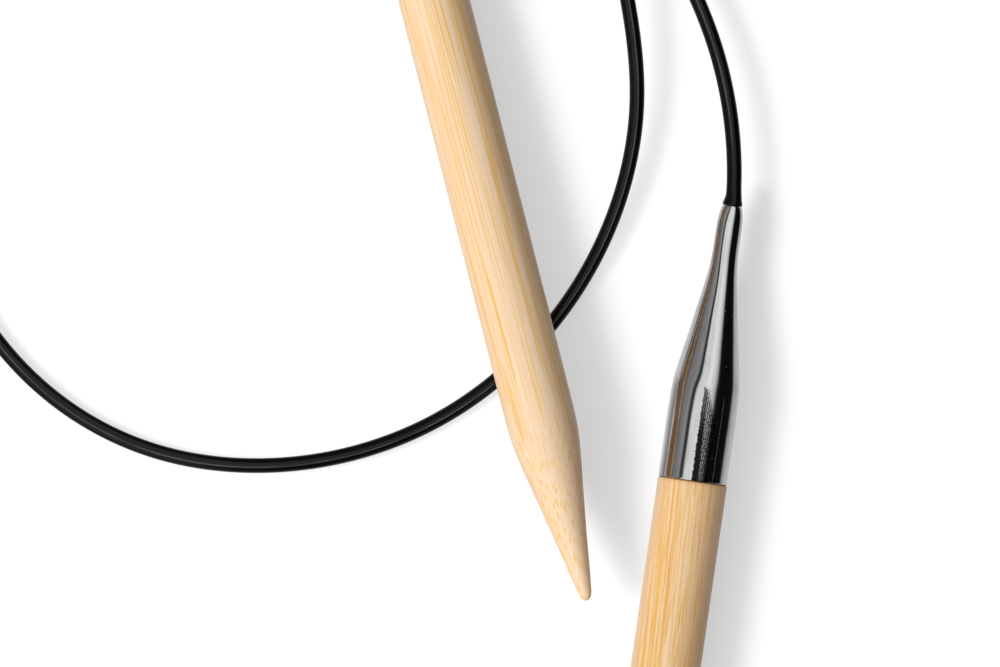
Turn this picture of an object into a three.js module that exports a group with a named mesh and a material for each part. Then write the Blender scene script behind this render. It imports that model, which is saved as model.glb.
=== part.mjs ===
// A bamboo circular knitting needle, 10 mm size, 80 cm from point to point.
//
// Two rigid bamboo tips, each glued into a bottle-shaped chromed ferrule, are
// joined by one black nylon cord. Each ferrule turns freely on the cord's end:
// the cord end carries a flared collar outside the ferrule's mouth, a stem that
// runs through the neck bore, and a headed bead behind a thrust washer inside
// the ferrule's chamber.
//
// Millimetres, +Z up. The needle lies loosely on a flat surface at z = 0. The
// origin is under the middle of the box around the two tips, and +Y runs along
// their length. "left" is the tip with its point towards -Y near the middle,
// "right" is the tip that lies flat along +X.

import * as THREE from 'three';
import * as BufferGeometryUtils from 'three/addons/utils/BufferGeometryUtils.js';

// ---------------------------------------------------------------- dimensions

const NEEDLE_RADIUS = 5.0;          // the needle size is the diameter, 10 mm
const TIP_LENGTH = 140.0;           // ferrule mouth to point
const FERRULE_LENGTH = 39.75;
const CORD_RADIUS = 1.06;           // 2.12 mm cord
const CORD_SIDES = 8;
const CORD_STEPS = 80;
const CORD_LIFT = 1.02;             // the eight-sided section is this much wider than the round cord

// Swivel inside the ferrule, measured from the mouth along the axis.
const BORE_RADIUS = 1.12;           // neck bore
const STEM_RADIUS = 1.04;           // the cord end that turns in it
const CHAMBER_START = 11.0;         // the step that the thrust washer bears on
const CHAMBER_END = 14.7;
const CHAMBER_RADIUS = 1.75;
const WASHER_THICKNESS = 0.4;
const WASHER_RADIUS = 1.62;
const WASHER_BORE = 1.12;
const BEAD_LENGTH = 2.6;
const BEAD_RADIUS = 1.6;
const BEAD_WALL_END = 0.6;          // closed end of the bead
const AXIAL_PLAY = 0.1;
const COLLAR_RADIUS = 1.43;         // flared collar at the mouth
const COLLAR_LENGTH = 1.2;
const COLLAR_GAP = 0.12;

// Socket and tenon.
const SOCKET_RADIUS = 4.42;
const TENON_RADIUS = 4.25;
const TENON_START = 27.3;
const SHOULDER_GAP = 0.15;

// Facets. Each flat touches the true circle, so the size across flats is the
// real diameter and a needle rests on one flat.
const FACETS = 36;
const SMALL_FACETS = 24;

// Outside of the ferrule: distance from the mouth, radius.
const FERRULE_OUTSIDE = [
  [0.0, 1.42], [0.5, 1.56], [1.2, 1.72], [2.2, 1.82], [3.6, 1.85], [7.0, 1.89],
  [8.5, 1.98], [9.9, 2.14], [11.3, 2.35], [14.2, 2.855], [17.1, 3.345],
  [21.4, 4.12], [24.25, 4.63], [25.7, 4.85], [27.1, 4.935], [28.6, 4.98],
  [30.2, 5.0], [FERRULE_LENGTH - 0.12, 5.0], [FERRULE_LENGTH, 4.93],
];

// Inside of the ferrule, from the socket end back to the mouth.
const FERRULE_INSIDE = [
  [FERRULE_LENGTH, SOCKET_RADIUS], [26.9, SOCKET_RADIUS], [24.6, 4.1], [21.4, 3.55],
  [17.1, 2.75], [CHAMBER_END, CHAMBER_RADIUS], [CHAMBER_START, CHAMBER_RADIUS],
  [CHAMBER_START, BORE_RADIUS], [0.15, BORE_RADIUS], [0.0, 1.2],
];

// Point of the bamboo tip: distance back from the very end, radius.
const POINT_PROFILE = [
  [27.5, 5.0], [25.2, 4.93], [23.6, 4.8], [22.0, 4.58], [20.0, 4.25], [15.0, 3.34],
  [9.0, 2.28], [6.0, 1.79], [4.0, 1.46], [2.0, 1.11], [1.0, 0.92], [0.45, 0.69],
  [0.12, 0.38], [0.0, 0.0],
];

// Where each tip lies: the centre of its ferrule's mouth, and the direction
// from there to the point. The left tip lies across the cord, so it rises by
// LEFT_RISE for each millimetre of its length.
const LEFT_RISE = 0.0311;
const LEFT_MOUTH = [-27.775, 108.65, 4.105];
const LEFT_HEADING = [0.246808, -0.969064];
const RIGHT_MOUTH = [27.63, 29.559, 5.0];
const RIGHT_HEADING = [-0.142944, -0.989731];

// Centreline of the free cord, from the right ferrule to the left one.
const CORD_ROUTE = [
  [27.82, 30.89, 5.00], [27.66, 39.99, 4.93], [25.35, 51.85, 4.57], [19.55, 65.45, 3.89],
  [11.25, 78.01, 3.06], [0.65, 88.68, 2.23], [-12.03, 96.55, 1.56], [-25.82, 100.70, 1.18],
  [-40.01, 100.87, 1.11], [-53.79, 97.05, 1.11], [-66.27, 89.49, 1.11], [-76.59, 78.72, 1.11],
  [-83.98, 65.60, 1.11], [-87.97, 51.08, 1.11], [-88.23, 36.15, 1.11], [-84.71, 22.05, 1.11],
  [-77.67, 9.82, 1.11], [-67.66, 0.38, 1.11], [-55.41, -5.61, 1.11], [-41.63, -7.73, 1.11],
  [-26.94, -5.99, 1.11], [-13.62, -0.57, 1.11], [-2.33, 8.15, 1.15], [6.37, 19.33, 1.74],
  [11.68, 31.23, 2.73], [13.93, 43.71, 3.86], [13.07, 56.37, 4.89], [10.87, 70.07, 5.61],
  [10.88, 84.64, 5.55], [12.47, 99.48, 4.56], [13.58, 114.44, 3.11], [11.78, 128.08, 1.87],
  [6.60, 138.26, 1.22], [-1.14, 144.69, 1.11], [-10.16, 146.95, 1.11], [-18.92, 144.98, 1.38],
  [-25.91, 139.19, 1.97], [-29.86, 130.39, 2.76], [-30.20, 120.04, 3.55], [-28.11, 109.96, 4.06],
];

// ----------------------------------------------------------------- materials

function material(name, color, roughness, metalness) {
  const m = new THREE.MeshStandardMaterial({ color, roughness, metalness });
  m.name = name;
  return m;
}

// ------------------------------------------------------------------- helpers

// A turned piece. The profile is a list of [distance along the axis, radius],
// in order round the section, and the piece's axis is its own +Y. A profile
// that doesn't start and end on the axis is closed on itself.
function turned(profile, facets) {
  const k = 1 / Math.cos(Math.PI / facets);
  const points = profile.map(([d, r]) => new THREE.Vector2(r * k, d));
  const first = points[0];
  const last = points[points.length - 1];
  if (first.x > 0 || last.x > 0) points.push(first.clone());
  const lathe = new THREE.LatheGeometry(points, facets, Math.PI / facets);
  lathe.deleteAttribute('normal');
  lathe.deleteAttribute('uv');
  return clean(BufferGeometryUtils.mergeVertices(lathe, 1e-5));
}

// The geometry without the empty triangles that lie on the axis.
function clean(geometry) {
  const from = geometry.getIndex().array;
  const keep = [];
  for (let i = 0; i < from.length; i += 3) {
    const [a, b, c] = [from[i], from[i + 1], from[i + 2]];
    if (a !== b && b !== c && c !== a) keep.push(a, b, c);
  }
  geometry.setIndex(keep);
  geometry.computeVertexNormals();
  return geometry;
}

function mesh(name, geometry, mat) {
  const m = new THREE.Mesh(geometry, mat);
  m.name = name;
  return m;
}

// A frame whose +Y runs along a tip, whose +Z is as near upright as it can be,
// and whose origin is the centre of the ferrule's mouth.
function tipFrame(mouth, heading, rise) {
  const level = Math.sqrt(1 - rise * rise) / Math.hypot(heading[0], heading[1]);
  const y = new THREE.Vector3(heading[0] * level, heading[1] * level, rise);
  const z = new THREE.Vector3(0, 0, 1).addScaledVector(y, -rise).normalize();
  const x = new THREE.Vector3().crossVectors(y, z);
  const g = new THREE.Group();
  g.quaternion.setFromRotationMatrix(new THREE.Matrix4().makeBasis(x, y, z));
  g.position.set(...mouth);
  return g;
}

// ------------------------------------------------------------ the rigid tips

function bambooTip() {
  const shoulder = FERRULE_LENGTH + SHOULDER_GAP;
  const profile = [
    [TENON_START, 0], [TENON_START, TENON_RADIUS - 0.35], [TENON_START + 0.35, TENON_RADIUS],
    [shoulder, TENON_RADIUS], [shoulder, NEEDLE_RADIUS - 0.07], [shoulder + 0.1, NEEDLE_RADIUS],
    ...POINT_PROFILE.map(([back, r]) => [TIP_LENGTH - back, r]),
  ];
  return turned(profile, FACETS);
}

function ferrule() {
  return turned([...FERRULE_OUTSIDE, ...FERRULE_INSIDE], FACETS);
}

// ---------------------------------------------------------------- the swivel

const washerFrom = CHAMBER_START + AXIAL_PLAY;
const beadFrom = washerFrom + WASHER_THICKNESS + AXIAL_PLAY;
const beadTo = beadFrom + BEAD_LENGTH;
const stemTo = beadTo - BEAD_WALL_END - 0.08;

function cordEnd() {
  return turned([
    [-COLLAR_LENGTH, 0], [-COLLAR_LENGTH, 1.07], [-0.95, 1.11], [-0.7, 1.19], [-0.45, 1.31],
    [-0.25, 1.41], [-COLLAR_GAP, COLLAR_RADIUS], [-COLLAR_GAP, STEM_RADIUS],
    [stemTo - 0.15, STEM_RADIUS], [stemTo, STEM_RADIUS - 0.15], [stemTo, 0],
  ], SMALL_FACETS);
}

function thrustWasher() {
  return turned([
    [washerFrom, WASHER_BORE], [washerFrom, WASHER_RADIUS],
    [washerFrom + WASHER_THICKNESS, WASHER_RADIUS], [washerFrom + WASHER_THICKNESS, WASHER_BORE],
  ], SMALL_FACETS);
}

function swivelBead() {
  return turned([
    [beadTo - BEAD_WALL_END, 0], [beadTo - BEAD_WALL_END, WASHER_BORE],
    [beadFrom, WASHER_BORE], [beadFrom, BEAD_RADIUS], [beadTo - 0.25, BEAD_RADIUS],
    [beadTo, BEAD_RADIUS - 0.25], [beadTo, 0],
  ], SMALL_FACETS);
}

// ------------------------------------------------------------------ the cord

function cord() {
  const route = new THREE.CatmullRomCurve3(
    CORD_ROUTE.map((p) => new THREE.Vector3(...p)), false, 'centripetal');
  const section = new THREE.Shape();
  for (let i = 0; i < CORD_SIDES; i++) {
    const a = (i + 0.5) * 2 * Math.PI / CORD_SIDES;
    const x = CORD_RADIUS * CORD_LIFT * Math.cos(a);
    const y = CORD_RADIUS * CORD_LIFT * Math.sin(a);
    if (i === 0) section.moveTo(x, y); else section.lineTo(x, y);
  }
  section.closePath();
  return new THREE.ExtrudeGeometry(section, {
    steps: CORD_STEPS, bevelEnabled: false, extrudePath: route, curveSegments: 1,
  });
}

// ------------------------------------------------------------------ assembly

const needle = new THREE.Group();
needle.add(mesh('cord', cord(), material('black_nylon', 0x0b0b0c, 0.28, 0)));

for (const [side, mouth, heading, rise] of [
  ['left', LEFT_MOUTH, LEFT_HEADING, LEFT_RISE],
  ['right', RIGHT_MOUTH, RIGHT_HEADING, 0],
]) {
  const tip = tipFrame(mouth, heading, rise);
  tip.add(mesh(`bamboo_tip_${side}`, bambooTip(), material(`bamboo_${side}`, 0xe3bd86, 0.55, 0)));
  tip.add(mesh(`ferrule_${side}`, ferrule(), material(`chrome_${side}`, 0xc9cbce, 0.12, 1)));
  tip.add(mesh(`cord_end_${side}`, cordEnd(), material(`black_end_${side}`, 0x0b0b0c, 0.3, 0)));
  tip.add(mesh(`thrust_washer_${side}`, thrustWasher(), material(`brass_${side}`, 0xb8923f, 0.35, 1)));
  tip.add(mesh(`swivel_bead_${side}`, swivelBead(), material(`steel_${side}`, 0x9a9da1, 0.3, 1)));
  needle.add(tip);
}

export default needle;
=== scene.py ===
import math

import bpy
import numpy as np
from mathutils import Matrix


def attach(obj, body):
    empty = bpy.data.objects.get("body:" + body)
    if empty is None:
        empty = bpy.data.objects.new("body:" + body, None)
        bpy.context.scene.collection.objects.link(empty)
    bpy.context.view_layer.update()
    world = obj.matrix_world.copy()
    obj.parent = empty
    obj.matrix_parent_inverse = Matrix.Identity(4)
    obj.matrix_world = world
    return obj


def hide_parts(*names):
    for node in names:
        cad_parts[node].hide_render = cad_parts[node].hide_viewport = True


# A bamboo circular knitting needle, 10 mm size. Lengths are in millimetres in
# the tables below and become metres in the meshes.

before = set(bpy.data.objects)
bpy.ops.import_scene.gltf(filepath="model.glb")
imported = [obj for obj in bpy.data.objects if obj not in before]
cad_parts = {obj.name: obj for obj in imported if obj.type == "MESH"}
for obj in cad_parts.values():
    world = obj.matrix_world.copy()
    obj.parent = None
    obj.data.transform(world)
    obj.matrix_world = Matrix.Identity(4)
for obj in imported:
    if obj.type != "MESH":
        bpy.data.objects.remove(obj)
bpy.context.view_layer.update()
MM = 0.001

# ------------------------------------------------------------------ the camera

cam_data = bpy.data.cameras.new("camera")
cam_data.sensor_width = 36.0
cam_data.lens = 376.38
cam_data.clip_start = 0.05
cam_data.clip_end = 50.0
cam = bpy.data.objects.new("camera", cam_data)
cam.location = (-0.00569185, 0.01126606, 1.505)
cam.rotation_euler = (0.0, 0.0, 0.0)
bpy.context.scene.collection.objects.link(cam)
bpy.context.scene.camera = cam

# ------------------------------------------------------- dimensions, as in CAD

NEEDLE_RADIUS = 5.0
TIP_LENGTH = 140.0
FERRULE_LENGTH = 39.75
CORD_RADIUS = 1.085
BORE_RADIUS = 1.12
STEM_RADIUS = 1.04
CHAMBER_START = 11.0
CHAMBER_END = 14.7
CHAMBER_RADIUS = 1.75
COLLAR_GAP = 0.04                   # at the finished collar
STEM_END = 14.02
SOCKET_RADIUS = 4.42
TENON_RADIUS = 4.25
TENON_START = 27.3
SHOULDER = FERRULE_LENGTH + 0.15

FERRULE_OUTSIDE = [
    (0.0, 1.42), (0.5, 1.56), (1.2, 1.72), (2.2, 1.82), (3.6, 1.85), (7.0, 1.89),
    (8.5, 1.98), (9.9, 2.14), (11.3, 2.35), (14.2, 2.855), (17.1, 3.345),
    (21.4, 4.12), (24.25, 4.63), (25.7, 4.85), (27.1, 4.935), (28.6, 4.98),
    (30.2, 5.0), (39.55, 5.0),
]
POINT_PROFILE = [
    (27.5, 5.0), (25.2, 4.93), (23.6, 4.8), (22.0, 4.58), (20.0, 4.25), (15.0, 3.34),
    (9.0, 2.28), (6.0, 1.79), (4.0, 1.46), (2.0, 1.11), (1.0, 0.92), (0.45, 0.69),
    (0.12, 0.38), (0.0, 0.0),
]

TIPS = {
    "left": ((-27.775, 108.65, 4.105), (0.246808, -0.969064), 0.0311),
    "right": ((27.63, 29.559, 5.0), (-0.142944, -0.989731), 0.0),
}

CORD_ROUTE = [
    (27.82, 30.89, 5.00), (27.66, 39.99, 4.93), (25.35, 51.85, 4.57), (19.55, 65.45, 3.89),
    (11.25, 78.01, 3.06), (0.65, 88.68, 2.23), (-12.03, 96.55, 1.56), (-25.82, 100.70, 1.18),
    (-40.01, 100.87, 1.11), (-53.79, 97.05, 1.11), (-66.27, 89.49, 1.11), (-76.59, 78.72, 1.11),
    (-83.98, 65.60, 1.11), (-87.97, 51.08, 1.11), (-88.23, 36.15, 1.11), (-84.71, 22.05, 1.11),
    (-77.67, 9.82, 1.11), (-67.66, 0.38, 1.11), (-55.41, -5.61, 1.11), (-41.63, -7.73, 1.11),
    (-26.94, -5.99, 1.11), (-13.62, -0.57, 1.11), (-2.33, 8.15, 1.15), (6.37, 19.33, 1.74),
    (11.68, 31.23, 2.73), (13.93, 43.71, 3.86), (13.07, 56.37, 4.89), (10.87, 70.07, 5.61),
    (10.88, 84.64, 5.55), (12.47, 99.48, 4.56), (13.58, 114.44, 3.11), (11.78, 128.08, 1.87),
    (6.60, 138.26, 1.22), (-1.14, 144.69, 1.11), (-10.16, 146.95, 1.11), (-18.92, 144.98, 1.38),
    (-25.91, 139.19, 1.97), (-29.86, 130.39, 2.76), (-30.20, 120.04, 3.55), (-28.11, 109.96, 4.06),
]


# -------------------------------------------------------------- curve helpers

def cubic_spline(t, y, start=None, end=None):
    """Second-derivative form of a cubic spline; start and end are end slopes, or None for not-a-knot."""
    n = len(t)
    h = np.diff(t)
    a = np.zeros((n, n))
    b = np.zeros((n, y.shape[1]))
    for i in range(1, n - 1):
        a[i, i - 1], a[i, i], a[i, i + 1] = h[i - 1], 2 * (h[i - 1] + h[i]), h[i]
        b[i] = 6 * ((y[i + 1] - y[i]) / h[i] - (y[i] - y[i - 1]) / h[i - 1])
    if start is None:
        a[0, 0], a[0, 1], a[0, 2] = h[1], -(h[0] + h[1]), h[0]
    else:
        a[0, 0], a[0, 1] = 2 * h[0], h[0]
        b[0] = 6 * ((y[1] - y[0]) / h[0] - start)
    if end is None:
        a[-1, -1], a[-1, -2], a[-1, -3] = h[-2], -(h[-1] + h[-2]), h[-1]
    else:
        a[-1, -1], a[-1, -2] = 2 * h[-1], h[-1]
        b[-1] = 6 * (end - (y[-1] - y[-2]) / h[-1])
    m = np.linalg.solve(a, b)

    def value(x):
        i = np.clip(np.searchsorted(t, x) - 1, 0, n - 2)
        hi = h[i][:, None]
        u, v = (t[i + 1] - x)[:, None], (x - t[i])[:, None]
        return (m[i] * u ** 3 + m[i + 1] * v ** 3) / (6 * hi) \
            + (y[i] / hi - m[i] * hi / 6) * u + (y[i + 1] / hi - m[i + 1] * hi / 6) * v

    return value


def even_route(points, end_direction, step):
    """Points every step along the smooth line through the route, and the distance of each."""
    p = np.array(points, float)
    t = np.concatenate([[0], np.cumsum(np.linalg.norm(np.diff(p, axis=0), axis=1))])
    line = cubic_spline(t, p, None, np.array(end_direction, float))
    fine = line(np.linspace(0, t[-1], 12001))
    s = np.concatenate([[0], np.cumsum(np.linalg.norm(np.diff(fine, axis=0), axis=1))])
    count = int(round(s[-1] / step)) + 1
    at = np.linspace(0, s[-1], count)
    return np.stack([np.interp(at, s, fine[:, k]) for k in range(3)], 1), at


def monotone(xs, ys, x):
    """Values at x of a shape-keeping cubic through (xs, ys)."""
    xs, ys = np.array(xs, float), np.array(ys, float)
    h, d = np.diff(xs), np.diff(ys) / np.diff(xs)
    m = np.zeros(len(xs))
    m[0], m[-1] = d[0], d[-1]
    for i in range(1, len(xs) - 1):
        if d[i - 1] * d[i] > 0:
            w1, w2 = 2 * h[i] + h[i - 1], h[i] + 2 * h[i - 1]
            m[i] = (w1 + w2) / (w1 / d[i - 1] + w2 / d[i])
    i = np.clip(np.searchsorted(xs, x) - 1, 0, len(xs) - 2)
    u = (x - xs[i]) / h[i]
    return (2 * u ** 3 - 3 * u ** 2 + 1) * ys[i] + (u ** 3 - 2 * u ** 2 + u) * h[i] * m[i] \
        + (3 * u ** 2 - 2 * u ** 3) * ys[i + 1] + (u ** 3 - u ** 2) * h[i] * m[i + 1]


def softened(values, step, width):
    """values, evenly spaced by step, with a Gaussian of that width run over them. The ends keep their slope."""
    n = int(math.ceil(4 * width / step))
    k = np.exp(-0.5 * (np.arange(-n, n + 1) * step / width) ** 2)
    k /= k.sum()
    first = 2 * values[0] - values[n:0:-1]
    last = 2 * values[-1] - values[-2:-n - 2:-1]
    return np.convolve(np.concatenate([first, values, last]), k, "valid")


# --------------------------------------------------------------- mesh helpers

def tip_axes(side):
    """Origin at the ferrule's mouth, and unit x, y, z: y along the tip, z as near upright as it can be."""
    mouth, heading, rise = TIPS[side]
    level = math.sqrt(1 - rise * rise) / math.hypot(*heading)
    y = np.array([heading[0] * level, heading[1] * level, rise])
    z = np.array([0.0, 0.0, 1.0]) - rise * y
    z /= np.linalg.norm(z)
    return np.array(mouth, float), np.cross(y, z), y, z


def grid_mesh(name, rings, closed_ends, local, material, sharp_rings=()):
    """A mesh from rings of points (in mm, row frame), one after the other. Rings of one point close an end.
    local holds the same points in the piece's own coordinates and is kept as the attribute "own"."""
    verts, own, index = [], [], []
    for ring, loc in zip(rings, local):
        index.append(list(range(len(verts), len(verts) + len(ring))))
        verts.extend(ring)
        own.extend(loc)
    faces = []
    pairs = list(zip(index[:-1], index[1:]))
    if not closed_ends:
        pairs.append((index[-1], index[0]))
    for a, b in pairs:
        n = max(len(a), len(b))
        for i in range(n):
            j = (i + 1) % n
            if len(a) == 1:
                faces.append((a[0], b[i], b[j]))
            elif len(b) == 1:
                faces.append((a[i], b[0], a[j]))
            else:
                faces.append((a[i], b[i], b[j], a[j]))
    mesh = bpy.data.meshes.new(name)
    mesh.from_pydata((np.array(verts) * MM).tolist(), [], faces)
    mesh.update()
    attribute = mesh.attributes.new("own", "FLOAT_VECTOR", "POINT")
    attribute.data.foreach_set("vector", np.array(own, np.float32).ravel())
    mesh.shade_smooth()
    if sharp_rings:
        ring_of = {}
        for k, ids in enumerate(index):
            for v in ids:
                ring_of[v] = k
        wanted = set(sharp_rings)
        for e in mesh.edges:
            a, b = e.vertices
            if ring_of[a] == ring_of[b] and ring_of[a] in wanted:
                e.use_edge_sharp = True
    mesh.materials.append(material)
    o = bpy.data.objects.new(name, mesh)
    bpy.context.scene.collection.objects.link(o)
    return o


def turned(name, side, profile, segments, material, sharp=(), closed=True):
    """A piece turned about a tip's axis. profile holds (distance from the mouth, radius); a radius of 0 closes an end."""
    origin, x, y, z = tip_axes(side)
    angles = np.arange(segments) * 2 * math.pi / segments
    rings, local = [], []
    for d, r in profile:
        if r <= 0:
            rings.append([origin + y * d])
            local.append([(0.0, d, 0.0)])
            continue
        c, s = r * np.cos(angles), r * np.sin(angles)
        rings.append(list(origin + np.outer(c, x) + y * d + np.outer(s, z)))
        local.append(list(np.stack([c, np.full(segments, d), s], 1)))
    return grid_mesh(name, rings, closed, local, material, sharp)


def swept(name, path, radii, segments, material, up=(0, 0, 1), along=None):
    """A tube along path, with a radius at each point; a radius of 0 closes that end flat. along is each point's own
    distance.
    """
    path = np.array(path, float)
    tangent = np.gradient(path, axis=0)
    tangent /= np.linalg.norm(tangent, axis=1)[:, None]
    side = np.array(up, float)
    angles = np.arange(segments) * 2 * math.pi / segments
    rings, local = [], []
    for i, (p, t, r) in enumerate(zip(path, tangent, radii)):
        side = side - t * (side @ t)
        side /= np.linalg.norm(side)
        across = np.cross(t, side)
        d = along[i] if along is not None else float(i)
        if r <= 0:
            rings.append([p])
            local.append([(0.0, d, 0.0)])
            continue
        c, s = r * np.cos(angles), r * np.sin(angles)
        rings.append(list(p + np.outer(c, across) + np.outer(s, side)))
        local.append(list(np.stack([c, np.full(segments, d), s], 1)))
    return grid_mesh(name, rings, True, local, material)


# ------------------------------------------------------------- node shorthand

class Nodes:
    """A material's node tree, built by calls that return sockets."""

    def __init__(self, name):
        self.material = bpy.data.materials.new(name)
        self.material.use_nodes = True
        self.tree = self.material.node_tree
        self.tree.nodes.clear()
        self.out = self.tree.nodes.new("ShaderNodeOutputMaterial")

    def put(self, socket, value):
        if isinstance(value, bpy.types.NodeSocket):
            self.tree.links.new(value, socket)
        elif isinstance(value, (tuple, list)) and len(value) == 3 and socket.type == "RGBA":
            socket.default_value = (*value, 1.0)
        else:
            socket.default_value = value

    def node(self, kind, inputs=None, **settings):
        n = self.tree.nodes.new(kind)
        for k, v in settings.items():
            setattr(n, k, v)
        for k, v in (inputs or {}).items():
            self.put(n.inputs[k], v)
        return n

    def math(self, op, a, b=0.0, c=0.0, clamp=False):
        n = self.node("ShaderNodeMath", operation=op, use_clamp=clamp)
        for i, v in enumerate((a, b, c)):
            if i < len(n.inputs):
                self.put(n.inputs[i], v)
        return n.outputs[0]

    def own(self, name="own"):
        return self.node("ShaderNodeAttribute", attribute_name=name).outputs["Vector"]

    def split(self, v):
        n = self.node("ShaderNodeSeparateXYZ", {0: v})
        return n.outputs[0], n.outputs[1], n.outputs[2]

    def join(self, x, y, z):
        return self.node("ShaderNodeCombineXYZ", {0: x, 1: y, 2: z}).outputs[0]

    def scaled(self, v, scale, offset=(0, 0, 0)):
        n = self.node("ShaderNodeMapping", {"Vector": v, "Scale": scale, "Location": offset})
        return n.outputs[0]

    def noise(self, v, scale, detail=2.0, rough=0.5, distortion=0.0, colour=False):
        n = self.node("ShaderNodeTexNoise",
                      {"Vector": v, "Scale": scale, "Detail": detail, "Roughness": rough, "Distortion": distortion})
        return n.outputs["Color" if colour else 0]

    def cells(self, v, scale, randomness=1.0, dims="3D", feature="F1"):
        return self.node("ShaderNodeTexVoronoi", {"Vector": v, "Scale": scale, "Randomness": randomness},
                         voronoi_dimensions=dims, feature=feature)

    def smooth(self, x, low, high, a=0.0, b=1.0):
        n = self.node("ShaderNodeMapRange", {"Value": x, "From Min": low, "From Max": high, "To Min": a, "To Max": b},
                      interpolation_type="SMOOTHSTEP")
        return n.outputs[0]

    def linear(self, x, low, high, a=0.0, b=1.0):
        n = self.node("ShaderNodeMapRange", {"Value": x, "From Min": low, "From Max": high, "To Min": a, "To Max": b})
        n.clamp = True
        return n.outputs[0]

    def mix(self, f, a, b, blend="MIX"):
        n = self.node("ShaderNodeMix", data_type="RGBA", blend_type=blend)
        self.put(n.inputs[0], f)
        self.put(n.inputs[6], a)
        self.put(n.inputs[7], b)
        return n.outputs[2]

    def bump(self, height, distance, strength=1.0, normal=None):
        n = self.node("ShaderNodeBump", {"Height": height, "Distance": distance, "Strength": strength})
        if normal is not None:
            self.put(n.inputs["Normal"], normal)
        return n.outputs[0]

    def finish(self, **inputs):
        p = self.node("ShaderNodeBsdfPrincipled")
        for k, v in inputs.items():
            self.put(p.inputs[k.replace("_", " ")], v)
        self.tree.links.new(p.outputs[0], self.out.inputs[0])
        self.principled = p
        return self.material


# ------------------------------------------------------------------ materials

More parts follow.
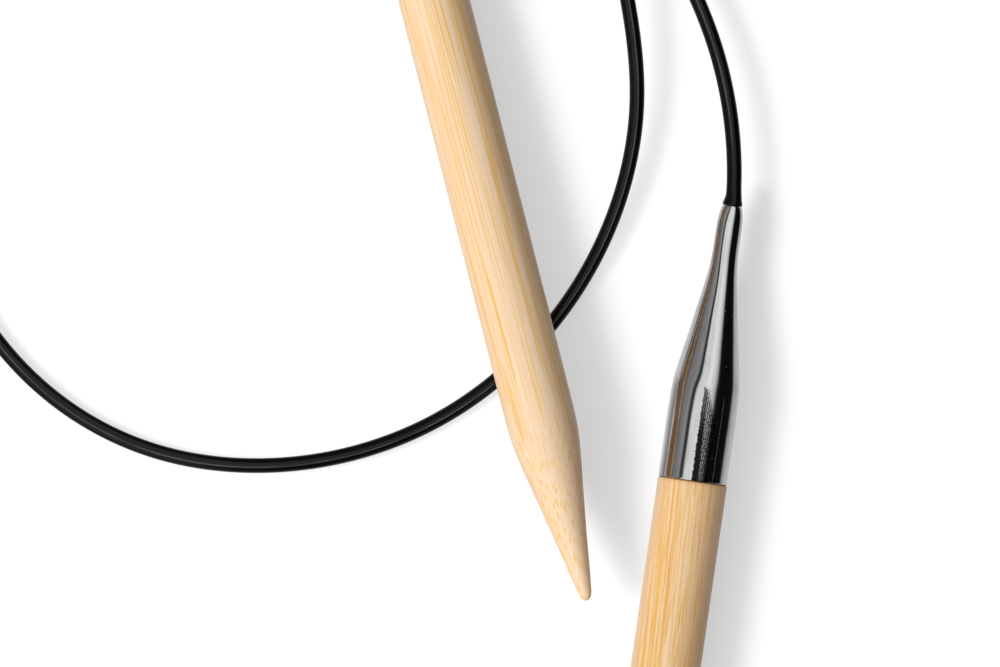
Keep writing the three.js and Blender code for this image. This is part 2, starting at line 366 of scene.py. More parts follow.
def bamboo(name, offset, turn, run_out, amber, lean, fine, calm, tone):
    """Bamboo as a solid: fibre bundles are slim columns nearly along the tip, so they show as long lines on
    the shaft and as short dashes where the cone cuts across them. run_out is how far the grain strays from
    the axis, per mm, and lean is how far the lines in the skin do. amber is how golden one side of the cane
    is, fine is how strong its fine lines are, calm is how far they fade on the other side, and tone multiplies
    the whole."""
    n = Nodes(name)
    own = n.own()
    side, along, _ = n.split(own)
    rotated = n.node("ShaderNodeMapping", {"Vector": own, "Rotation": (0.0, turn, 0.0),
                                           "Location": (offset[0], 0.0, offset[1])}).outputs[0]
    x, d, z = n.split(rotated)

    # the grain strays from the axis and wanders a little
    drift = n.noise(n.scaled(rotated, (0.16, 0.020, 0.16)), 1.0, 2.0, 0.5, colour=True)
    dx, dy, _ = n.split(drift)
    gx = n.math("ADD", x, n.math("MULTIPLY", n.math("SUBTRACT", dx, 0.5), 0.8))
    gz = n.math("ADD", z, n.math("MULTIPLY", n.math("SUBTRACT", dy, 0.5), 0.8))
    gx = n.math("ADD", gx, n.math("MULTIPLY", d, run_out[0]))
    gz = n.math("ADD", gz, n.math("MULTIPLY", d, run_out[1]))

    # where bundles are strong and where they are faint
    patchy = n.noise(n.scaled(rotated, (0.42, 0.018, 0.42), (3.1, 0.4, 7.7)), 1.0, 2.0, 0.5)
    presence = n.smooth(patchy, 0.32, 0.48, 0.50, 1.0)

    # main bundles
    cell = n.cells(n.join(n.math("DIVIDE", gx, 0.42), n.math("DIVIDE", gz, 0.45), 0.0), 1.0, 0.95, "2D")
    rand, rand2, rand3 = n.split(cell.outputs["Color"])
    size = n.linear(rand, 0.0, 1.0, 0.16, 0.32)
    edge = n.math("SUBTRACT", cell.outputs["Distance"], size)
    bundle = n.smooth(edge, -0.060, 0.040, 1.0, 0.0)
    core = n.smooth(edge, -0.16, -0.04, 1.0, 0.0)
    depth = n.math("MULTIPLY", n.smooth(rand2, 0.10, 0.50, 0.45, 1.0), presence)
    bundle = n.math("MULTIPLY", bundle, depth)
    core = n.math("MULTIPLY", core, depth)

    # thin secondary fibres between them
    thin = n.cells(n.join(n.math("DIVIDE", gx, 0.27), n.math("DIVIDE", gz, 0.30), 0.0), 1.0, 1.0, "2D")
    thin_rand, _, _ = n.split(thin.outputs["Color"])
    thread = n.smooth(thin.outputs["Distance"], 0.14, 0.34, 1.0, 0.0)
    thread = n.math("MULTIPLY", thread, n.smooth(thin_rand, 0.55, 0.95, 0.0, 0.75))
    thread = n.math("MULTIPLY", thread, n.smooth(patchy, 0.36, 0.56, 0.45, 1.0))

    # golden lines in the skin of the shaft, spindle-shaped, with tapering ends
    around = n.math("MULTIPLY", n.math("ARCTAN2", side, n.split(own)[2]), NEEDLE_RADIUS)
    around = n.math("ADD", around, n.math("MULTIPLY", n.math("SUBTRACT", dx, 0.5), 1.1))
    around = n.math("ADD", around, n.math("MULTIPLY", d, lean))

    def spindles(width, length, shift, low, high):
        where = n.join(n.math("ADD", n.math("DIVIDE", around, width), shift), n.math("ADD", n.math("DIVIDE", d, length), shift), 0.0)
        c = n.cells(where, 1.0, 1.0, "2D")
        chance, _, _ = n.split(c.outputs["Color"])
        return n.math("MULTIPLY", n.smooth(c.outputs["Distance"], low, high, 1.0, 0.0), n.smooth(chance, 0.05, 0.65, 0.25, 1.0))

    on_shaft = n.smooth(along, TIP_LENGTH - 24.0, TIP_LENGTH - 31.0)
    on_shaft = n.math("MULTIPLY", on_shaft, n.smooth(side, -2.8, -0.2, 1.0 - calm, 1.0))
    line = n.math("MULTIPLY", spindles(0.80, 62.0, offset[0], 0.15, 0.23), on_shaft)
    fine_line = n.math("MULTIPLY", spindles(0.44, 38.0, offset[1], 0.18, 0.28), on_shaft)

    close_line = n.math("MAXIMUM", spindles(0.52, 60.0, offset[0] + 7.3, 0.19, 0.27), spindles(0.62, 46.0, offset[1] + 3.9, 0.16, 0.23))

    # a few hairline reddish veins
    vein_cell = n.cells(n.join(n.math("DIVIDE", gx, 1.9), n.math("DIVIDE", gz, 1.7), 0.0), 1.0, 1.0, "2D")
    vein_rand, _, _ = n.split(vein_cell.outputs["Color"])
    veiny = n.noise(n.scaled(rotated, (0.5, 0.05, 0.5), (1.1, 5.4, 2.7)), 1.0, 2.0, 0.5)
    vein = n.math("MULTIPLY", n.smooth(vein_cell.outputs["Distance"], 0.022, 0.050, 1.0, 0.0), n.smooth(vein_rand, 0.25, 0.5))
    vein = n.math("MULTIPLY", vein, n.smooth(veiny, 0.46, 0.60))
    vein = n.math("MULTIPLY", vein, n.smooth(along, TIP_LENGTH - 22.0, TIP_LENGTH - 28.0))

    # long fine streaks, a broad tone, and the fine pores of the flesh
    streak = n.noise(n.scaled(rotated, (7.0, 0.06, 7.0)), 1.0, 4.0, 0.62)
    broad = n.noise(n.scaled(rotated, (0.30, 0.018, 0.30), (9.0, 2.0, 1.0)), 1.0, 3.0, 0.55)
    flesh = n.noise(n.scaled(rotated, (9.0, 2.4, 9.0)), 1.0, 3.0, 0.6)

    cream = n.mix(n.smooth(broad, 0.34, 0.66), (0.900, 0.695, 0.485), (0.865, 0.632, 0.405))
    cream = n.mix(n.math("MULTIPLY", n.smooth(streak, 0.35, 0.72), 0.34), cream, (0.810, 0.530, 0.275))
    cream = n.mix(n.math("MULTIPLY", n.smooth(flesh, 0.46, 0.70), 0.55), cream, (0.940, 0.765, 0.570))
    # the golden side of the cane, in close narrow stripes
    stripes = n.noise(n.join(n.math("MULTIPLY", around, 3.4), n.math("MULTIPLY", d, 0.022), offset[0]), 1.0, 2.0, 0.55)
    reach = n.math("ADD", side, n.math("MULTIPLY", n.math("SUBTRACT", broad, 0.5), 6.0))
    golden = n.math("MULTIPLY", n.smooth(reach, -1.4, 1.6, 0.16, 1.0), n.smooth(side, 3.3, 4.5, 1.0, 0.35))
    gilt = n.math("MULTIPLY", n.math("MULTIPLY", golden, close_line), amber)
    golden = n.math("MULTIPLY", golden, n.smooth(stripes, 0.42, 0.56, 0.08, 0.36))
    cream = n.mix(n.math("MULTIPLY", golden, amber), cream, (0.880, 0.560, 0.170))
    # hairlines, golden and pale by turns
    hairline = n.noise(n.join(n.math("MULTIPLY", around, 6.5), n.math("MULTIPLY", d, 0.035), offset[1] + 1.7), 1.0, 1.0, 0.5)
    hairy = n.math("MULTIPLY", n.smooth(side, -3.6, -0.6, 0.35, 1.0), fine * (0.15 + 0.95 * amber))
    cream = n.mix(n.math("MULTIPLY", n.smooth(hairline, 0.52, 0.60, 0.0, 0.40), hairy), cream, (0.870, 0.560, 0.165))
    cream = n.mix(n.math("MULTIPLY", n.smooth(hairline, 0.48, 0.40, 0.0, 0.40), hairy), cream, (0.945, 0.790, 0.600))

    gold = n.mix(n.smooth(rand3, 0.2, 0.8), (0.870, 0.550, 0.120), (0.835, 0.480, 0.105))
    colour = n.mix(n.math("MULTIPLY", thread, 0.80), cream, (0.860, 0.560, 0.190))
    colour = n.mix(n.math("MULTIPLY", bundle, 0.92), colour, gold)
    colour = n.mix(n.math("MULTIPLY", core, 0.22), colour, (0.780, 0.410, 0.070))
    colour = n.mix(n.math("MULTIPLY", fine_line, fine), colour, (0.850, 0.555, 0.185))
    colour = n.mix(gilt, colour, (0.800, 0.435, 0.085))
    colour = n.mix(n.math("MULTIPLY", line, 0.95), colour, gold)
    colour = n.mix(n.math("MULTIPLY", vein, 0.60), colour, (0.500, 0.220, 0.075))

    # small pale flecks left by handling
    fleck = n.cells(n.scaled(rotated, (1.9, 0.75, 1.9)), 1.0, 1.0)
    fleck_rand, _, _ = n.split(fleck.outputs["Color"])
    spot = n.math("MULTIPLY", n.smooth(fleck.outputs["Distance"], 0.06, 0.13, 1.0, 0.0), n.smooth(fleck_rand, 0.86, 0.90))
    colour = n.mix(n.math("MULTIPLY", spot, 0.5), colour, (0.960, 0.860, 0.720))

    # the turned shoulder by the joint and the very end are a little darker
    darkened_ends = n.smooth(along, TIP_LENGTH - 1.3, TIP_LENGTH - 0.1, 0.0, 0.22)
    darkened_ends = n.math("ADD", darkened_ends, n.smooth(along, SHOULDER + 0.1, SHOULDER + 0.7, 0.30, 0.0))
    colour = n.mix(darkened_ends, colour, (0.66, 0.40, 0.19))

    colour = n.mix(1.0, colour, tone, "MULTIPLY")
    # painted sheen: one flank of the cane is painted paler and less golden, standing in for the whitish sheen of light
    # along that edge
    colour = n.mix(n.smooth(side, 3.7, 4.9, 0.0, 0.24), colour, (0.935, 0.790, 0.635))

    height = n.math("ADD", n.math("MULTIPLY", streak, 0.5), n.math("MULTIPLY", bundle, -0.30))
    height = n.math("ADD", height, n.math("MULTIPLY", flesh, 0.35))
    height = n.math("ADD", height, n.math("MULTIPLY", spot, 0.5))
    normal = n.bump(height, 0.00006, 0.55)
    rough = n.linear(n.math("ADD", n.math("MULTIPLY", streak, 0.7), n.math("MULTIPLY", bundle, -0.3)), 0.0, 0.8, 0.36, 0.52)
    # the sheen is the fine fuzz of sanded fibre ends
    return n.finish(Base_Color=colour, Roughness=rough, Normal=normal, Specular_IOR_Level=0.55,
                    Coat_Weight=0.06, Coat_Roughness=0.28,
                    Sheen_Weight=0.40, Sheen_Roughness=0.30, Sheen_Tint=(1.0, 0.95, 0.88))


def chrome(name, seed):
    n = Nodes(name)
    own = n.own()
    moved = n.scaled(own, (1, 1, 1), (seed, 0.0, 2.3 * seed))
    x, d, z = n.split(own)
    # fine polishing haze, finger smudges across the cone, and hairlines
    haze = n.noise(n.scaled(moved, (0.5, 0.22, 0.5)), 1.0, 4.0, 0.6)
    tilted = n.node("ShaderNodeMapping", {"Vector": moved, "Rotation": (0.0, 0.0, 0.42), "Scale": (1.1, 0.16, 1.1)}).outputs[0]
    smudge = n.smooth(n.noise(tilted, 1.0, 3.0, 0.55), 0.47, 0.66)
    hair = n.noise(n.scaled(moved, (9.0, 0.35, 9.0)), 1.0, 5.0, 0.7)

    # a painted reflection: a band along the upper side of the wide end is painted near-black, standing in for the dark
    # camera overhead mirrored in the chrome, broken by lighter rows along the tip. across is the way round from the top
    # line, in mm.
    turn = n.math("ARCTAN2", x, z)
    across = n.math("MULTIPLY", turn, -5.0)
    tooth = n.noise(n.join(n.math("MULTIPLY", across, 1.6), n.math("MULTIPLY", d, 3.0), seed), 1.0, 3.0, 0.75)
    tooth = n.math("SUBTRACT", tooth, 0.5)
    ragged = n.math("ADD", across, n.math("MULTIPLY", tooth, 0.62))
    left = n.smooth(ragged, -0.38, -0.24)
    right_at = n.linear(d, 26.2, 31.5, 0.30, 2.0)
    right = n.smooth(n.math("SUBTRACT", ragged, right_at), 0.22, -0.30)
    start = n.smooth(n.math("ADD", d, n.math("MULTIPLY", tooth, 2.2)), 26.1, 26.8)
    painted_reflection_area = n.math("MULTIPLY", n.math("MULTIPLY", left, right), start)
    strip_at = n.linear(d, 26.5, 39.5, 0.26, 0.62)
    strip = n.smooth(n.math("SUBTRACT", ragged, strip_at), 0.14, -0.10)
    grains = n.noise(n.join(n.math("MULTIPLY", across, 7.0), n.math("MULTIPLY", d, 2.9), seed + 3.0), 1.0, 4.0, 0.85)
    rows = n.math("SINE", n.math("MULTIPLY", n.math("ADD", across, n.math("MULTIPLY", d, 0.02)), 2 * math.pi / 0.27))
    speck = n.smooth(n.math("ADD", grains, n.math("MULTIPLY", rows, 0.050)), 0.475, 0.555)
    strip = n.math("MULTIPLY", strip, n.smooth(n.math("ADD", d, n.math("MULTIPLY", tooth, 6.0)), 27.5, 33.0, 0.60, 1.0))
    clear = n.math("MULTIPLY", speck, n.math("SUBTRACT", 1.0, strip))
    clear = n.math("MULTIPLY", clear, n.linear(d, 28.0, 39.0, 0.95, 0.55))
    dark = n.math("MULTIPLY", painted_reflection_area, n.math("SUBTRACT", 1.0, n.math("MULTIPLY", clear, 0.85)))
    # one long hairline scratch beside it
    scratch = n.smooth(n.math("ABSOLUTE", n.math("ADD", n.math("ADD", turn, 0.583), n.math("MULTIPLY", tooth, 0.012))), 0.011, 0.004)
    scratch = n.math("MULTIPLY", scratch, n.smooth(d, 26.8, 28.2))
    scratch = n.math("MULTIPLY", scratch, n.smooth(n.noise(n.join(0.0, n.math("MULTIPLY", d, 1.1), seed), 1.0, 2.0, 0.6), 0.38, 0.55, 0.25, 1.0))

    # pin pricks in the plating and specks of dust
    prick = n.cells(n.scaled(moved, (0.62, 0.62, 0.62)), 1.0, 1.0)
    prick_rand, _, _ = n.split(prick.outputs["Color"])
    pit = n.math("MULTIPLY", n.smooth(prick.outputs["Distance"], 0.035, 0.06, 1.0, 0.0), n.smooth(prick_rand, 0.45, 0.52))
    dust = n.cells(n.scaled(moved, (0.95, 0.95, 0.95), (2.0, 5.0, 1.0)), 1.0, 1.0)
    dust_rand, _, _ = n.split(dust.outputs["Color"])
    mote = n.math("MULTIPLY", n.smooth(dust.outputs["Distance"], 0.045, 0.085, 1.0, 0.0), n.smooth(dust_rand, 0.62, 0.70))

    colour = n.mix(n.smooth(haze, 0.35, 0.7), (0.640, 0.640, 0.646), (0.606, 0.607, 0.612))
    on_cone = n.smooth(d, 10.0, 16.0, 0.5, 1.0)
    colour = n.mix(n.math("MULTIPLY", n.math("MULTIPLY", smudge, on_cone), 0.75), colour, (0.500, 0.502, 0.505))
    # the painted reflection of the camera: the band is painted near-black
    colour = n.mix(dark, colour, (0.012, 0.011, 0.010))
    colour = n.mix(scratch, colour, (0.26, 0.215, 0.17))
    colour = n.mix(n.math("MULTIPLY", pit, 0.8), colour, (0.16, 0.15, 0.14))
    rough = n.math("ADD", n.linear(haze, 0.3, 0.75, 0.035, 0.060), n.math("MULTIPLY", n.smooth(hair, 0.55, 0.75), 0.03))
    rough = n.math("ADD", rough, n.math("MULTIPLY", smudge, 0.025))
    rough = n.math("ADD", rough, n.math("MULTIPLY", painted_reflection_area, n.linear(speck, 0.0, 1.0, 0.07, 0.02)))
    rough = n.math("ADD", rough, n.math("MULTIPLY", scratch, 0.30))
    rough = n.math("ADD", rough, n.math("MULTIPLY", mote, 0.45), clamp=True)
    height = n.math("ADD", n.math("MULTIPLY", hair, 0.5), n.math("MULTIPLY", n.math("MULTIPLY", painted_reflection_area, grains), 1.2))
    height = n.math("SUBTRACT", height, n.math("ADD", pit, scratch))
    metal = n.math("SUBTRACT", 1.0, n.math("MULTIPLY", scratch, 0.45))
    metal = n.math("SUBTRACT", metal, n.math("MULTIPLY", mote, 0.30), clamp=True)
    return n.finish(Base_Color=colour, Metallic=metal, Roughness=rough, Normal=n.bump(height, 0.000006, 0.5))


def black_nylon(name, seed=0.0):
    n = Nodes(name)
    own = n.own()
    # drawing lines along the cord, a little unevenness, and fine dust
    lines = n.noise(n.scaled(own, (4.5, 0.012, 4.5), (seed, 0, 0)), 1.0, 4.0, 0.65)
    uneven = n.noise(n.scaled(own, (0.5, 0.11, 0.5), (seed, 3.0, 0)), 1.0, 2.0, 0.5)
    dust = n.noise(n.scaled(own, (5.0, 3.0, 5.0)), 1.0, 2.0, 0.6)
    speck = n.smooth(dust, 0.75, 0.81)
    colour = n.mix(n.smooth(uneven, 0.3, 0.7), (0.0022, 0.0022, 0.0025), (0.0042, 0.0042, 0.0045))
    colour = n.mix(n.math("MULTIPLY", speck, 0.30), colour, (0.09, 0.09, 0.088))
    # a painted highlight: one fine pale line painted on the upper side of the cord where a thin highlight runs, which
    # moves slowly round the cord and fades before its ends
    x, d, z = n.split(own)
    off = n.math("ABSOLUTE", n.math("SUBTRACT", x, n.linear(d, 120.0, 260.0, -0.17, 0.17)))
    painted_highlight_line = n.math("MULTIPLY", n.smooth(off, 0.035, 0.125, 1.0, 0.0), n.smooth(z, 0.2, 0.6))
    painted_highlight_line = n.math("MULTIPLY", painted_highlight_line, n.smooth(uneven, 0.30, 0.62, 0.35, 1.0))
    painted_highlight_line = n.math("MULTIPLY", painted_highlight_line, n.math("MULTIPLY", n.smooth(d, 2.0, 12.0), n.smooth(d, 514.0, 504.0)))
    # mixes in the painted highlight line
    colour = n.mix(n.math("MULTIPLY", painted_highlight_line, 0.85), colour, (0.085, 0.085, 0.087))
    rough = n.linear(n.math("ADD", n.math("MULTIPLY", lines, 0.7), n.math("MULTIPLY", uneven, 0.3)), 0.3, 0.7, 0.09, 0.15)
    height = n.math("ADD", n.math("MULTIPLY", lines, 0.6), n.math("MULTIPLY", uneven, 0.8))
    return n.finish(Base_Color=colour, Roughness=rough, Normal=n.bump(height, 0.00002, 0.22), Specular_IOR_Level=0.21)


def glue(name):
    n = Nodes(name)
    own = n.own()
    cloud = n.noise(n.scaled(own, (0.9, 2.0, 0.9)), 1.0, 3.0, 0.6)
    colour = n.mix(n.smooth(cloud, 0.35, 0.65), (0.20, 0.085, 0.030), (0.36, 0.17, 0.060))
    return n.finish(Base_Color=colour, Roughness=0.35, Normal=n.bump(cloud, 0.00003, 0.5))


def turned_metal(name, light, deep):
    """Lathe-turned small metal parts, with rings from the cutting tool."""
    n = Nodes(name)
    place = n.node("ShaderNodeTexCoord").outputs["Object"]
    rings = n.noise(n.scaled(place, (9000.0, 9000.0, 9000.0)), 1.0, 3.0, 0.6)
    cloud = n.noise(n.scaled(place, (900.0, 900.0, 900.0)), 1.0, 3.0, 0.6)
    colour = n.mix(n.smooth(cloud, 0.35, 0.65), light, deep)
    return n.finish(Base_Color=colour, Metallic=1.0, Roughness=n.linear(rings, 0.3, 0.7, 0.22, 0.42),
                    Normal=n.bump(rings, 0.000008, 0.5))


BAMBOO = {
    "left": bamboo("bamboo_left", (31.7, 12.4), 0.6, (0.010, -0.006), 0.20, 0.016, 0.90, 0.10, (0.962, 0.945, 0.962)),
    "right": bamboo("bamboo_right", (-18.2, 44.9), 2.1, (0.034, -0.024), 1.00, 0.045, 0.85, 0.70, (0.905, 0.842, 0.775)),
}
CHROME = {"left": chrome("chrome_left", 3.7), "right": chrome("chrome_right", 0.0)}
NYLON = black_nylon("black_nylon")
NYLON_END = black_nylon("black_nylon_end", 4.0)
GLUE = glue("joint_glue")
BRASS = turned_metal("brass", (0.72, 0.52, 0.20), (0.62, 0.42, 0.14))
STEEL = turned_metal("steel", (0.52, 0.52, 0.53), (0.40, 0.40, 0.41))

# -------------------------------------------------------------------- the cord

_, _, left_y, _ = tip_axes("left")
route, route_s = even_route(CORD_ROUTE, left_y, 0.75)
cord = swept("cord_tube", route, [CORD_RADIUS] * len(route), 32, NYLON, along=route_s)


def capped(o):
    """Closes the two open ends of a swept tube."""
    m = o.data
    import bmesh
    bm = bmesh.new()
    bm.from_mesh(m)
    bmesh.ops.holes_fill(bm, edges=[e for e in bm.edges if e.is_boundary], sides=0)
    bmesh.ops.recalc_face_normals(bm, faces=bm.faces)
    bm.to_mesh(m)
    bm.free()
    return o


capped(cord)
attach(cord, "cord_set")
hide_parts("cord")

# --------------------------------------------------------------- the cord ends

def cord_end(side):
    """The moulded end: a stem through the neck, a rolled lip at the mouth, and a flare that thins onto the cord."""
    origin, x, y, z = tip_axes(side)
    line = route if side == "right" else route[::-1]
    reach = np.concatenate([[0], np.cumsum(np.linalg.norm(np.diff(line, axis=0), axis=1))])
    outer = [(2.9, CORD_RADIUS + 0.004), (2.5, 1.096), (2.15, 1.110), (1.85, 1.130), (1.58, 1.158), (1.34, 1.193),
             (1.12, 1.230), (0.92, 1.280), (0.74, 1.333), (0.58, 1.380), (0.44, 1.414), (0.33, 1.430),
             (0.22, 1.434), (0.13, 1.424), (0.07, 1.396), (0.045, 1.345), (COLLAR_GAP, STEM_RADIUS)]
    path, radii, along = [], [], []
    for out, r in outer:
        if out > 1.35:
            at = out - 1.35
            p = np.array([np.interp(at, reach, line[:, k]) for k in range(3)])
        else:
            p = origin - y * out
        path.append(p)
        radii.append(r)
        along.append(-out)
    path.insert(0, path[0])
    radii.insert(0, 0.0)
    along.insert(0, along[0])
    for d, r in [(STEM_END - 0.15, STEM_RADIUS), (STEM_END, STEM_RADIUS - 0.15), (STEM_END, 0.0)]:
        path.append(origin + y * d)
        radii.append(r)
        along.append(d)
    # rings square to the line that runs from the cord into the tip
    segments = 48
    angles = np.arange(segments) * 2 * math.pi / segments
    rings, local = [], []
    cord_dir = line[3] - line[0]
    cord_dir /= np.linalg.norm(cord_dir)
    for p, r, d in zip(path, radii, along):
        t = y if d > -1.35 else -cord_dir
        a = np.cross(t, z)
        a /= np.linalg.norm(a)
        b = np.cross(a, t)
        if r <= 0:
            rings.append([p])
            local.append([(0.0, d, 0.0)])
            continue
        c, s = r * np.cos(angles), r * np.sin(angles)
        rings.append(list(p + np.outer(c, a) + np.outer(s, b)))
        local.append(list(np.stack([c, np.full(segments, d), s], 1)))
    o = grid_mesh(f"cord_end_{side}_moulded", rings, True, local, NYLON_END, sharp_rings=(1, len(rings) - 4))
    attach(o, "cord_set")
    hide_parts(f"cord_end_{side}")
    return o


ends = [cord_end("right"), cord_end("left")]

# ---------------------------------------------------------------- the ferrules

def ferrule(side):
    step = 0.25
    at = np.arange(0.0, 39.5 + step / 2, step)
    r = monotone(*zip(*FERRULE_OUTSIDE), at)
    soft = softened(r, step, 0.62)
    keep = np.clip((at - 0.4) / 1.2, 0, 1)          # the rolled mouth keeps its own shape
    r = np.minimum(soft * keep + r * (1 - keep), NEEDLE_RADIUS)
    outside = [(0.0, 1.20), (0.0, 1.30), (0.02, 1.375), (0.09, 1.425), (0.2, 1.468)]
    outside += [(float(a), float(b)) for a, b in zip(at, r) if a > 0.4]
    outside += [(39.6, 5.0), (39.67, 4.994), (39.72, 4.975), (39.745, 4.94), (39.75, 4.90)]
    inside = [(39.75, SOCKET_RADIUS), (26.9, SOCKET_RADIUS), (24.6, 4.1), (21.4, 3.55), (17.1, 2.75),
              (CHAMBER_END, CHAMBER_RADIUS), (CHAMBER_START, CHAMBER_RADIUS), (CHAMBER_START, BORE_RADIUS),
              (0.08, BORE_RADIUS)]
    profile = outside + inside
    k = len(outside)
    sharp = [0, k - 1] + list(range(k, k + len(inside)))
    o = turned(f"ferrule_{side}_shell", side, profile, 160, CHROME[side], sharp, closed=False)
    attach(o, f"{side}_tip")
    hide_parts(f"ferrule_{side}")
    return o


# ------------------------------------------------------------- the bamboo tips

def bamboo_tip(side):
    step = 0.25
    back = np.arange(0.0, 29.5 + step / 2, step)
    xs = [b for b, _ in POINT_PROFILE[::-1]] + [31.0]
    ys = [r * r for _, r in POINT_PROFILE[::-1]] + [25.0]
    radius = np.sqrt(np.clip(monotone(xs, ys, back), 0, None))
    body = softened(radius[4:], step, 0.7)           # from 1 mm back, so that the round nose stays as it is
    radius[8:] = body[4:]
    radius = np.minimum(radius, NEEDLE_RADIUS)
    profile = [(TENON_START, 0.0), (TENON_START, TENON_RADIUS - 0.35), (TENON_START + 0.35, TENON_RADIUS),
               (SHOULDER, TENON_RADIUS), (SHOULDER, 4.86), (SHOULDER + 0.02, 4.915), (SHOULDER + 0.07, 4.965),
               (SHOULDER + 0.16, 4.99), (SHOULDER + 0.3, 5.0)]
    profile += [(float(v), NEEDLE_RADIUS) for v in np.arange(42.0, TIP_LENGTH - 29.6, 2.0)]
    tail = [(TIP_LENGTH - float(b), float(r)) for b, r in zip(back, radius)][::-1]
    profile += [p for p in tail if p[0] < TIP_LENGTH - 1.1]
    nose = np.array([1.0, 0.82, 0.66, 0.52, 0.4, 0.3, 0.21, 0.14, 0.085, 0.04, 0.012])
    nose_r = np.sqrt(monotone(xs, ys, nose))
    profile += [(TIP_LENGTH - float(b), float(r)) for b, r in zip(nose, nose_r)]
    profile += [(TIP_LENGTH, 0.0)]
    o = turned(f"bamboo_tip_{side}_turned", side, profile, 144, BAMBOO[side], sharp=(1, 2, 3, 4))
    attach(o, f"{side}_tip")
    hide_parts(f"bamboo_tip_{side}")
    return o


def glue_line(side):
    """The brown line of glue that shows in the joint between ferrule and bamboo."""
    profile = [(FERRULE_LENGTH + 0.005, TENON_RADIUS + 0.01), (FERRULE_LENGTH + 0.005, 4.80),
               (FERRULE_LENGTH + 0.04, 4.86), (SHOULDER - 0.04, 4.86), (SHOULDER - 0.005, 4.80),
               (SHOULDER - 0.005, TENON_RADIUS + 0.01)]
    o = turned(f"glue_line_{side}", side, profile, 144, GLUE, closed=False)
    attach(o, f"{side}_tip")
    return o


tip_parts = []
for side in ("left", "right"):
    tip_parts += [ferrule(side), bamboo_tip(side), glue_line(side)]
    for node, mat in ((f"thrust_washer_{side}", BRASS), (f"swivel_bead_{side}", STEEL)):
        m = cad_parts[node].data.materials
        if len(m):
            for i in range(len(m)):
                m[i] = mat
        else:
            m.append(mat)

# ---------------------------------------------------------- floor and lighting

def floor_material():
    n = Nodes("floor_paper")
    path = n.node("ShaderNodeLightPath")
    diffuse = n.node("ShaderNodeBsdfDiffuse",
                     {"Color": n.mix(path.outputs["Is Camera Ray"], (0.140, 0.112, 0.094), (0.14, 0.14, 0.14))})
    tone = n.mix(path.outputs["Is Camera Ray"], (0.168, 0.106, 0.080), (0.572, 0.572, 0.572))
    glow = n.node("ShaderNodeEmission", {"Color": tone, "Strength": 1.0})
    both = n.node("ShaderNodeAddShader", {0: diffuse.outputs[0], 1: glow.outputs[0]})
    n.tree.links.new(both.outputs[0], n.out.inputs[0])
    return n.material


floor_mesh = bpy.data.meshes.new("floor")
half = 6.0
floor_mesh.from_pydata([(-half, -half, 0), (half, -half, 0), (half, half, 0), (-half, half, 0)], [], [(0, 1, 2, 3)])
floor_mesh.materials.append(floor_material())
floor = bpy.data.objects.new("floor", floor_mesh)
bpy.context.scene.collection.objects.link(floor)
floor.visible_glossy = False

# the soft keys that draw the shadows on the floor; the cord stands in the way of the second one only, so that
# its shadow stays faint
only_floor = bpy.data.collections.new("floor_only")
only_floor.objects.link(floor)
tips_only = bpy.data.collections.new("tips_only")
for o in tip_parts + ends:
    tips_only.objects.link(o)
for name, tilt, angle, energy in (("floor_key", 40.0, 20.0, 4.128), ("floor_key_low", 47.0, 22.0, 6.956)):
    sun_data = bpy.data.lights.new(name, "SUN")
    sun_data.angle = math.radians(angle)
    sun_data.energy = energy
    sun = bpy.data.objects.new(name, sun_data)
    sun.rotation_euler = (0.0, math.radians(-tilt), 0.0)
    bpy.context.scene.collection.objects.link(sun)
    sun.light_linking.receiver_collection = only_floor
    if name == "floor_key":
        sun.light_linking.blocker_collection = tips_only


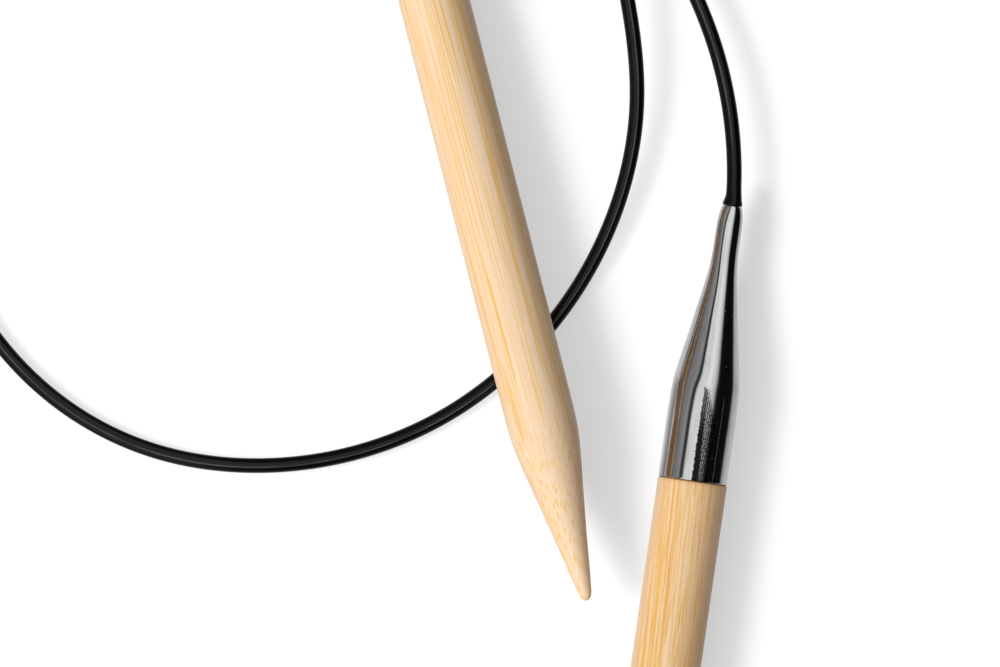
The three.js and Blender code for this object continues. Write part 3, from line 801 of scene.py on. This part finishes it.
def studio(world):
    """A long overhead softbox left of the object, dark on the right, as bands about the Y direction."""
    world.use_nodes = True
    tree = world.node_tree
    tree.nodes.clear()
    new, link = tree.nodes.new, tree.links.new
    coord = new("ShaderNodeTexCoord")
    # the room stands square to the right needle, which lies 8.2 degrees off the Y axis
    square = new("ShaderNodeMapping")
    square.vector_type = "POINT"
    square.inputs["Rotation"].default_value = (0.0, 0.0, math.radians(8.2))
    link(coord.outputs["Generated"], square.inputs["Vector"])
    split = new("ShaderNodeSeparateXYZ")
    link(square.outputs[0], split.inputs[0])
    angle = new("ShaderNodeMath")
    angle.operation = "ARCTAN2"
    link(split.outputs[0], angle.inputs[0])
    link(split.outputs[2], angle.inputs[1])
    def placed(value):
        node = new("ShaderNodeMapRange")
        node.inputs["From Min"].default_value = -math.pi
        node.inputs["From Max"].default_value = math.pi
        link(value, node.inputs["Value"])
        return node.outputs[0]

    def ramp(stops, where):
        node = new("ShaderNodeValToRGB")
        link(where, node.inputs[0])
        elements = node.color_ramp.elements
        while len(elements) > 1:
            elements.remove(elements[-1])
        for i, (deg, c) in enumerate(stops):
            e = elements[0] if i == 0 else elements.new((deg + 180) / 360)
            e.position = (deg + 180) / 360
            c = (c, c, c) if isinstance(c, (int, float)) else c
            e.color = (*c, 1.0)
        return node.outputs[0]

    def sums(op, a, b):
        node = new("ShaderNodeMath")
        node.operation = op
        for i, v in enumerate((a, b)):
            if isinstance(v, float):
                node.inputs[i].default_value = v
            else:
                link(v, node.inputs[i])
        return node.outputs[0]

    place = placed(angle.outputs[0])
    # the softbox stands slightly askew, so its edges move over as the view turns to its far end
    askew = ramp([(-100, 0.0), (-70, 0.20), (-45, 0.66), (-29, 0.75), (-10, 0.64), (20, 0.40), (38, 0.32), (70, 0.26),
                  (90, 0.16), (120, 0.0)], place)
    turned_by = sums("MULTIPLY", sums("MULTIPLY", askew, split.outputs[1]), -math.radians(60.0))
    seen_place = placed(sums("ADD", angle.outputs[0], turned_by))

    # seen in glossy surfaces, as a share of 1.2: the left half, then the right half
    seen_left = ramp([
        (-180, 0.78), (-152, 0.66), (-143, 0.60), (-133, 0.42), (-125, 0.31), (-117, 0.25), (-114, 0.26),
        (-110.5, (0.52, 0.46, 0.44)), (-106.5, (0.80, 0.69, 0.645)), (-102, (0.52, 0.42, 0.365)), (-97, (0.165, 0.125, 0.105)),
        (-88, (0.130, 0.096, 0.080)), (-81, (0.120, 0.092, 0.078)), (-76, (0.165, 0.140, 0.128)), (-70, (0.225, 0.203, 0.192)),
        (-64, 0.228), (-58, 0.275), (-52, 0.31), (-49, 0.18), (-46.5, 0.06), (-43.5, 0.028), (-40.0, 0.028), (-38, 0.09),
        (-36, 0.45), (-33.5, 0.72), (-30, 0.79), (-14, 0.79), (-6, 0.88), (0, 0.94)], seen_place)
    seen_right = ramp([
        (0, 0.94), (6, 0.91), (12, 0.84), (17, 0.74), (22, 0.64), (27, 0.50), (31, 0.30), (34, 0.10), (37, 0.022),
        (41, 0.008), (48, 0.005), (70, 0.004), (88, 0.006), (95, 0.008), (99, 0.018), (102, 0.10), (105, 0.26),
        (110, 0.38), (118, 0.46), (127, 0.52), (143, 0.54), (162, 0.57), (180, 0.78)], seen_place)
    half = new("ShaderNodeMix")
    half.data_type = "RGBA"
    link(sums("GREATER_THAN", seen_place, 0.5), half.inputs[0])
    link(seen_left, half.inputs[6])
    link(seen_right, half.inputs[7])

    def between(value, low, high, at_low, at_high):
        node = new("ShaderNodeMapRange")
        node.interpolation_type = "SMOOTHSTEP"
        link(value, node.inputs["Value"])
        for k, v in (("From Min", low), ("From Max", high), ("To Min", at_low), ("To Max", at_high)):
            node.inputs[k].default_value = v
        return node.outputs[0]

    # and it is dark at both ends
    ends = sums("MULTIPLY", between(split.outputs[1], 0.74, 0.95, 1.0, 0.12), between(split.outputs[1], -0.98, -0.86, 0.55, 1.0))
    faded = new("ShaderNodeMix")
    faded.data_type = "RGBA"
    link(ends, faded.inputs[0])
    faded.inputs[6].default_value = (0.0, 0.0, 0.0, 1.0)
    link(half.outputs[2], faded.inputs[7])
    # the paper on the left is brighter toward the upper end
    paper = sums("MULTIPLY", between(place, 0.094, 0.150, 0.0, 1.0), between(place, 0.176, 0.202, 1.0, 0.0))
    paper = sums("ADD", 1.0, sums("MULTIPLY", paper, between(split.outputs[1], 0.03, 0.15, 0.0, 0.85)))
    brighter = new("ShaderNodeMix")
    brighter.data_type = "RGBA"
    brighter.blend_type = "MULTIPLY"
    brighter.inputs[0].default_value = 1.0
    link(faded.outputs[2], brighter.inputs[6])
    link(paper, brighter.inputs[7])
    seen = brighter.outputs[2]
    # what lights matt surfaces, as a share of 3
    lit = ramp([(-180, 0.0), (-90, 0.055), (-56, 0.09), (-44, 0.80), (-30, 0.94), (-16, 0.95), (-2, 0.50), (8, 0.13), (14, 0.0), (180, 0.0)],
               place)

    # more of it from the lower end than from the upper
    leaning = new("ShaderNodeMix")
    leaning.data_type = "RGBA"
    leaning.blend_type = "MULTIPLY"
    leaning.inputs[0].default_value = 1.0
    link(lit, leaning.inputs[6])
    link(sums("SUBTRACT", 1.0, sums("MULTIPLY", split.outputs[1], 0.65)), leaning.inputs[7])
    lit = leaning.outputs[2]

    def times(colour, k):
        node = new("ShaderNodeMix")
        node.data_type = "RGBA"
        node.blend_type = "MULTIPLY"
        node.inputs[0].default_value = 1.0
        link(colour, node.inputs[6])
        node.inputs[7].default_value = (k, k, k, 1.0)
        return node.outputs[2]

    path = new("ShaderNodeLightPath")

    def choose(flag, a, b):
        node = new("ShaderNodeMix")
        node.data_type = "RGBA"
        link(flag, node.inputs[0])
        if isinstance(a, tuple):
            node.inputs[6].default_value = a
        else:
            link(a, node.inputs[6])
        if isinstance(b, tuple):
            node.inputs[7].default_value = b
        else:
            link(b, node.inputs[7])
        return node.outputs[2]

    colour = choose(path.outputs["Is Glossy Ray"], times(lit, 3.0), times(seen, 1.2))
    colour = choose(path.outputs["Is Camera Ray"], colour, (1.0, 1.0, 1.0, 1.0))
    background = new("ShaderNodeBackground")
    link(colour, background.inputs[0])
    out = new("ShaderNodeOutputWorld")
    link(background.outputs[0], out.inputs[0])


world = bpy.data.worlds.new("studio")
bpy.context.scene.world = world
studio(world)

scene = bpy.context.scene
scene.view_settings.view_transform = "Standard"
scene.view_settings.look = "None"
